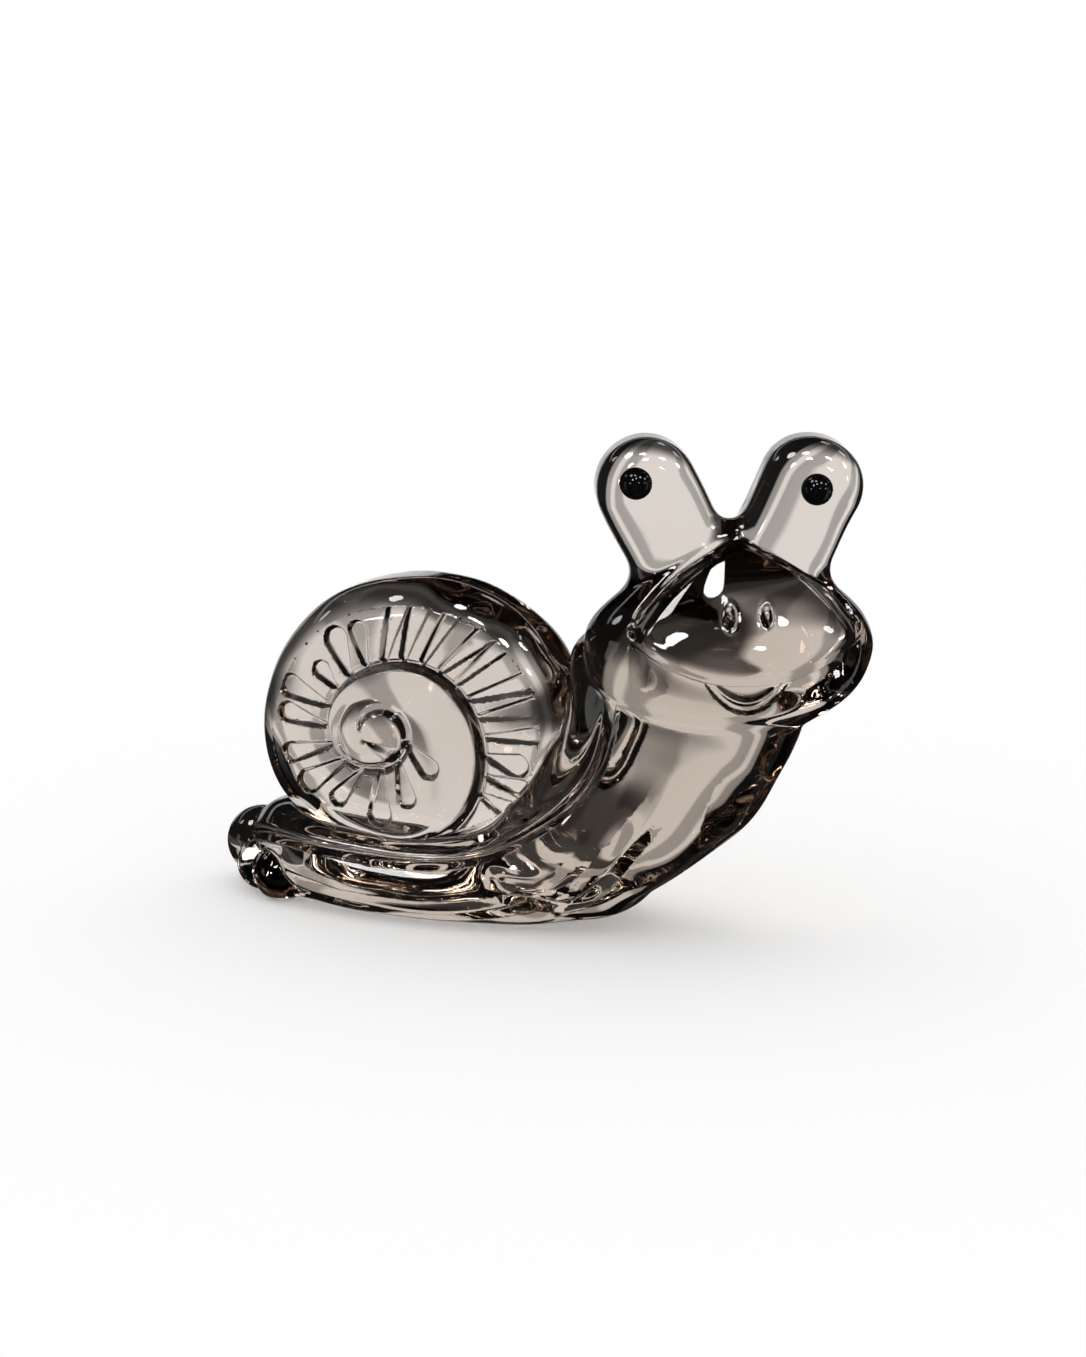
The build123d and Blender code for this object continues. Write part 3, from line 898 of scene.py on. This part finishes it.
def makeSmokeGlass(group):
    material, tree, shader = polishedMaterial("smoke_glass", group, smokeGlass)
    shader.inputs["Transmission Weight"].default_value = 1.0
    shader.inputs["IOR"].default_value = smokeGlass["refraction"]
    absorbed = {"Color": rgba(smokeGlass["absorbs"]), "Density": smokeGlass["density"]}
    smoke = addNode(tree, "ShaderNodeVolumeAbsorption", absorbed)
    tree.links.new(smoke.outputs["Volume"], tree.nodes["Material Output"].inputs["Volume"])
    return material


def makeBlackBead(group):
    material, _, shader = polishedMaterial("black_bead", group, blackBead)
    shader.inputs["Specular IOR Level"].default_value = blackBead["specular"]
    return material


# Camera, at the photograph's angle. The frame is upright, so the sensor's size is its height.
cameraRig = {
    "azimuth": 20.0, "elevation": 12.0, "distance": 900.0, "right": -4.25, "up": 58.5,
    "sensor": 36.0, "focalPixels": 3600.0, "frameHigh": 1357,
}


# Studio: white to the eye, but the glass sees dark flags at the sides and twelve small lamps
studio = {
    # the floor's colour and the colour of the painted shade that the glass sees on it; the floor is this
    # far under the sole, and its half side is in metres
    "floorColour": 0.90, "paintedShadeColour": 0.01, "floorGap": 0.15, "floorHalf": 6.0,
    # the even light that falls on everything
    "fill": 0.93,
    # light round the object: degrees off the line of sight, and how bright
    "around": [
        (0, 1.05), (10, 1.05), (12, 0.55), (20, 0.5), (22, 1.0), (26, 1.0), (28, 0.45), (33, 0.4),
        (35, 0.004), (88, 0.004), (90, 1.0), (102, 1.0), (104, 0.004), (160, 0.004), (165, 0.08),
        (180, 0.08),
    ],
    # a painted shadow round the object on the floor, as the glass sees it: metres from the middle
    # between which the floor brightens out of it, and its painted light near the object
    "tableNear": 0.11, "tableFar": 0.22, "tableLight": 0.08,
    # sines of the height where the sky turns dark, where a bright strip crosses the dark, and
    # the cosines off straight ahead between which that strip ends
    "skyLow": 0.18, "skyHigh": 0.23, "dark": 0.005,
    "stripLow": 0.42, "stripHigh": 0.50, "stripSoft": 0.02, "stripLight": 1.1, "behind": (0.40, 0.45),
    # lamps: degrees clockwise from the line of sight, height, half width, soft edge and strength
    "lamps": [
        (180, 46, 4, 1, 40.0), (-150, 34, 5, 1, 30.0), (135, 50, 5, 1, 30.0), (160, 14, 3, 0.6, 25.0),
        (-110, 58, 8, 1, 16.0), (100, 30, 5, 1, 16.0), (-70, 35, 4, 1, 6.0), (60, 40, 5, 1, 5.0),
        (-165, 68, 5, 1, 25.0), (-135, 8, 3, 0.6, 25.0), (115, 8, 3, 0.6, 20.0), (30, 50, 4, 1, 4.0),
    ],
}


def softRange(tree, value, low, high, atLow, atHigh):
    span = {"Value": value, "From Min": low, "From Max": high, "To Min": atLow, "To Max": atHigh}
    node = addNode(tree, "ShaderNodeMapRange", span, interpolation_type="SMOOTHSTEP")
    return node.outputs["Result"]


# how bright the studio is in each direction round the object
def aroundLight(tree, parts):
    azimuth = math.radians(cameraRig["azimuth"])
    flat = addNode(tree, "ShaderNodeCombineXYZ", {"X": parts["X"], "Y": parts["Y"]}).outputs[0]
    way = vectorNode(tree, "NORMALIZE", {0: flat})
    ahead = (-math.sin(azimuth), math.cos(azimuth), 0)
    facing = vectorNode(tree, "DOT_PRODUCT", {0: way, 1: ahead}, "Value")
    ramp = addNode(tree, "ShaderNodeValToRGB", {"Fac": mathNode(tree, "MULTIPLY_ADD", facing, 0.5, 0.5)})
    stops = ramp.color_ramp.elements
    stops.remove(stops[1])
    for number, (angle, light) in enumerate(reversed(studio["around"])):
        place = 0.5 + 0.5 * math.cos(math.radians(angle))
        stop = stops[0] if number == 0 else stops.new(place)
        stop.position, stop.color = place, (light, light, light, 1)
    return ramp.outputs["Color"]


# 1 for the directions that lie behind the object, as the camera sees it
def behindObject(tree, parts):
    azimuth = math.radians(cameraRig["azimuth"])
    ahead = mathNode(tree, "MULTIPLY", parts["Y"], math.cos(azimuth))
    ahead = mathNode(tree, "MULTIPLY_ADD", parts["X"], -math.sin(azimuth), ahead)
    return softRange(tree, ahead, *studio["behind"], 0.0, 1.0)


def lampLight(tree, look, lamp):
    turn, height, half, soft, strength = lamp
    turn, height = math.radians(turn - cameraRig["azimuth"]), math.radians(height)
    way = (math.sin(turn) * math.cos(height), math.cos(turn) * math.cos(height), math.sin(height))
    facing = vectorNode(tree, "DOT_PRODUCT", {0: look, 1: way}, "Value")
    rim, core = math.cos(math.radians(half + soft)), math.cos(math.radians(half))
    return softRange(tree, facing, rim, core, 0.0, strength)


def brightStrip(tree, height):
    low, high, soft = studio["stripLow"], studio["stripHigh"], studio["stripSoft"]
    over = softRange(tree, height, low, low + soft, 0.0, 1.0)
    under = softRange(tree, height, high, high + soft, studio["stripLight"], 0.0)
    return mathNode(tree, "MULTIPLY", over, under)


def seenByGlass(tree, rays):
    return mathNode(tree, "MAXIMUM", rays["Is Glossy Ray"], rays["Is Transmission Ray"])


def makeWorld():
    world = bpy.data.worlds.new("studio")
    scene.world = world
    world.use_nodes = True
    tree = world.node_tree
    tree.nodes.clear()
    look = tree.nodes.new("ShaderNodeTexCoord").outputs["Generated"]
    parts = addNode(tree, "ShaderNodeSeparateXYZ", {"Vector": look}).outputs
    low = softRange(tree, parts["Z"], studio["skyLow"], studio["skyHigh"], 1.0, 0.0)
    glassView = mathNode(tree, "MULTIPLY_ADD", aroundLight(tree, parts), low, studio["dark"])
    strip = brightStrip(tree, parts["Z"])
    glassView = mathNode(tree, "MULTIPLY_ADD", strip, behindObject(tree, parts), glassView)
    for lamp in studio["lamps"]:
        glassView = mathNode(tree, "ADD", glassView, lampLight(tree, look, lamp))
    rays = tree.nodes.new("ShaderNodeLightPath").outputs
    unseen = mixNode(tree, "FLOAT", seenByGlass(tree, rays), studio["fill"], glassView)
    strength = mixNode(tree, "FLOAT", rays["Is Camera Ray"], unseen, 1.0)
    sky = addNode(tree, "ShaderNodeBackground", {"Color": (1, 1, 1, 1), "Strength": strength})
    addNode(tree, "ShaderNodeOutputWorld", {"Surface": sky.outputs[0]})


def makeFloor():
    material = bpy.data.materials.new("paleFloor")
    material.use_nodes = True
    tree = material.node_tree
    tree.nodes.clear()
    place = tree.nodes.new("ShaderNodeTexCoord").outputs["Object"]
    parts = addNode(tree, "ShaderNodeSeparateXYZ", {"Vector": place}).outputs
    # Painted light and shade on the floor, seen only through the glass: a painted shadow round the
    # object, and painted shade and light that follow the studio's dark and bright directions round it.
    # To the camera the floor stays evenly pale, lifted to white by a glow of its own.
    away = vectorNode(tree, "LENGTH", {0: place}, "Value")
    paintedTableLight = softRange(tree, away, studio["tableNear"], studio["tableFar"], studio["tableLight"], 1.0)
    paintedFloorLight = mathNode(tree, "MULTIPLY", aroundLight(tree, parts), paintedTableLight)
    rays = tree.nodes.new("ShaderNodeLightPath").outputs
    inGlass = seenByGlass(tree, rays)
    # how far the glass's view of the floor is darkened by painted shade; the floor's colour and glow
    # follow it
    paintedShade = mathNode(tree, "MULTIPLY", inGlass, mathNode(tree, "SUBTRACT", 1.0, paintedFloorLight))
    shown = mathNode(tree, "SUBTRACT", 1.0, paintedShade)
    pale, dark = studio["floorColour"], studio["paintedShadeColour"]
    colour = blendColours(tree, shown, (dark,) * 3, (pale,) * 3)
    cover = addNode(tree, "ShaderNodeBsdfDiffuse", {"Color": colour})
    seen = mathNode(tree, "MAXIMUM", rays["Is Camera Ray"], inGlass)
    glowing = mathNode(tree, "MULTIPLY", seen, shown)
    lift = mathNode(tree, "MULTIPLY", glowing, 1.0 - pale * studio["fill"])
    glow = addNode(tree, "ShaderNodeEmission", {"Strength": lift})
    both = addNode(tree, "ShaderNodeAddShader", {0: cover.outputs[0], 1: glow.outputs[0]})
    addNode(tree, "ShaderNodeOutputMaterial", {"Surface": both.outputs[0]})
    half, depth = studio["floorHalf"], -studio["floorGap"] * mm
    corners = [(-half, -half, depth), (half, -half, depth), (half, half, depth), (-half, half, depth)]
    mesh = bpy.data.meshes.new("floor")
    mesh.from_pydata(corners, [], [(0, 1, 2, 3)])
    mesh.materials.append(material)
    floor = bpy.data.objects.new("floor", mesh)
    scene.collection.objects.link(floor)


def makeCamera(shift):
    azimuth, elevation = math.radians(cameraRig["azimuth"]), math.radians(cameraRig["elevation"])
    right = Vector((math.cos(azimuth), math.sin(azimuth), 0))
    level = math.cos(elevation)
    forward = Vector((-math.sin(azimuth) * level, math.cos(azimuth) * level, -math.sin(elevation)))
    up = right.cross(forward)
    target = right * cameraRig["right"] + up * cameraRig["up"]
    camera = bpy.data.cameras.new("camera")
    camera.sensor_width = cameraRig["sensor"]
    camera.lens = cameraRig["focalPixels"] * cameraRig["sensor"] / cameraRig["frameHigh"]
    holder = bpy.data.objects.new("camera", camera)
    holder.location = (target - forward * cameraRig["distance"]) * mm + shift
    holder.rotation_euler = forward.to_track_quat("-Z", "Y").to_euler()
    scene.collection.objects.link(holder)
    scene.camera = holder


# from the working frame to the CAD's, in metres: the left eye is in both
def cadShift():
    low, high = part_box("left_eye")
    return (Vector(low) + Vector(high)) / 2 - beadCentre() * mm


polish = polishGroup()
glassFinish = makeSmokeGlass(polish)
beadFinish = makeBlackBead(polish)
fluteLines = pressedFlutes(glassFinish)
print("flutes:", len(fluteLines))

frameShift = cadShift()
print("frame shift in mm:", [round(v / mm, 2) for v in frameShift])
snailGlass = makeGlass(frameShift, glassFinish)
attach(snailGlass, "root")
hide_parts("foot_and_neck", "shell", "head", "left_eye_stalk", "right_eye_stalk")
print("glass:", len(snailGlass.data.polygons), "triangles")

for name in ("left_eye", "right_eye"):
    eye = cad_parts[name]
    eye.data.materials.clear()
    eye.data.materials.append(beadFinish)
print("eyes: finished")

makeWorld()
makeFloor()
makeCamera(frameShift)
scene.view_settings.view_transform = "Standard"
print("studio: ready")
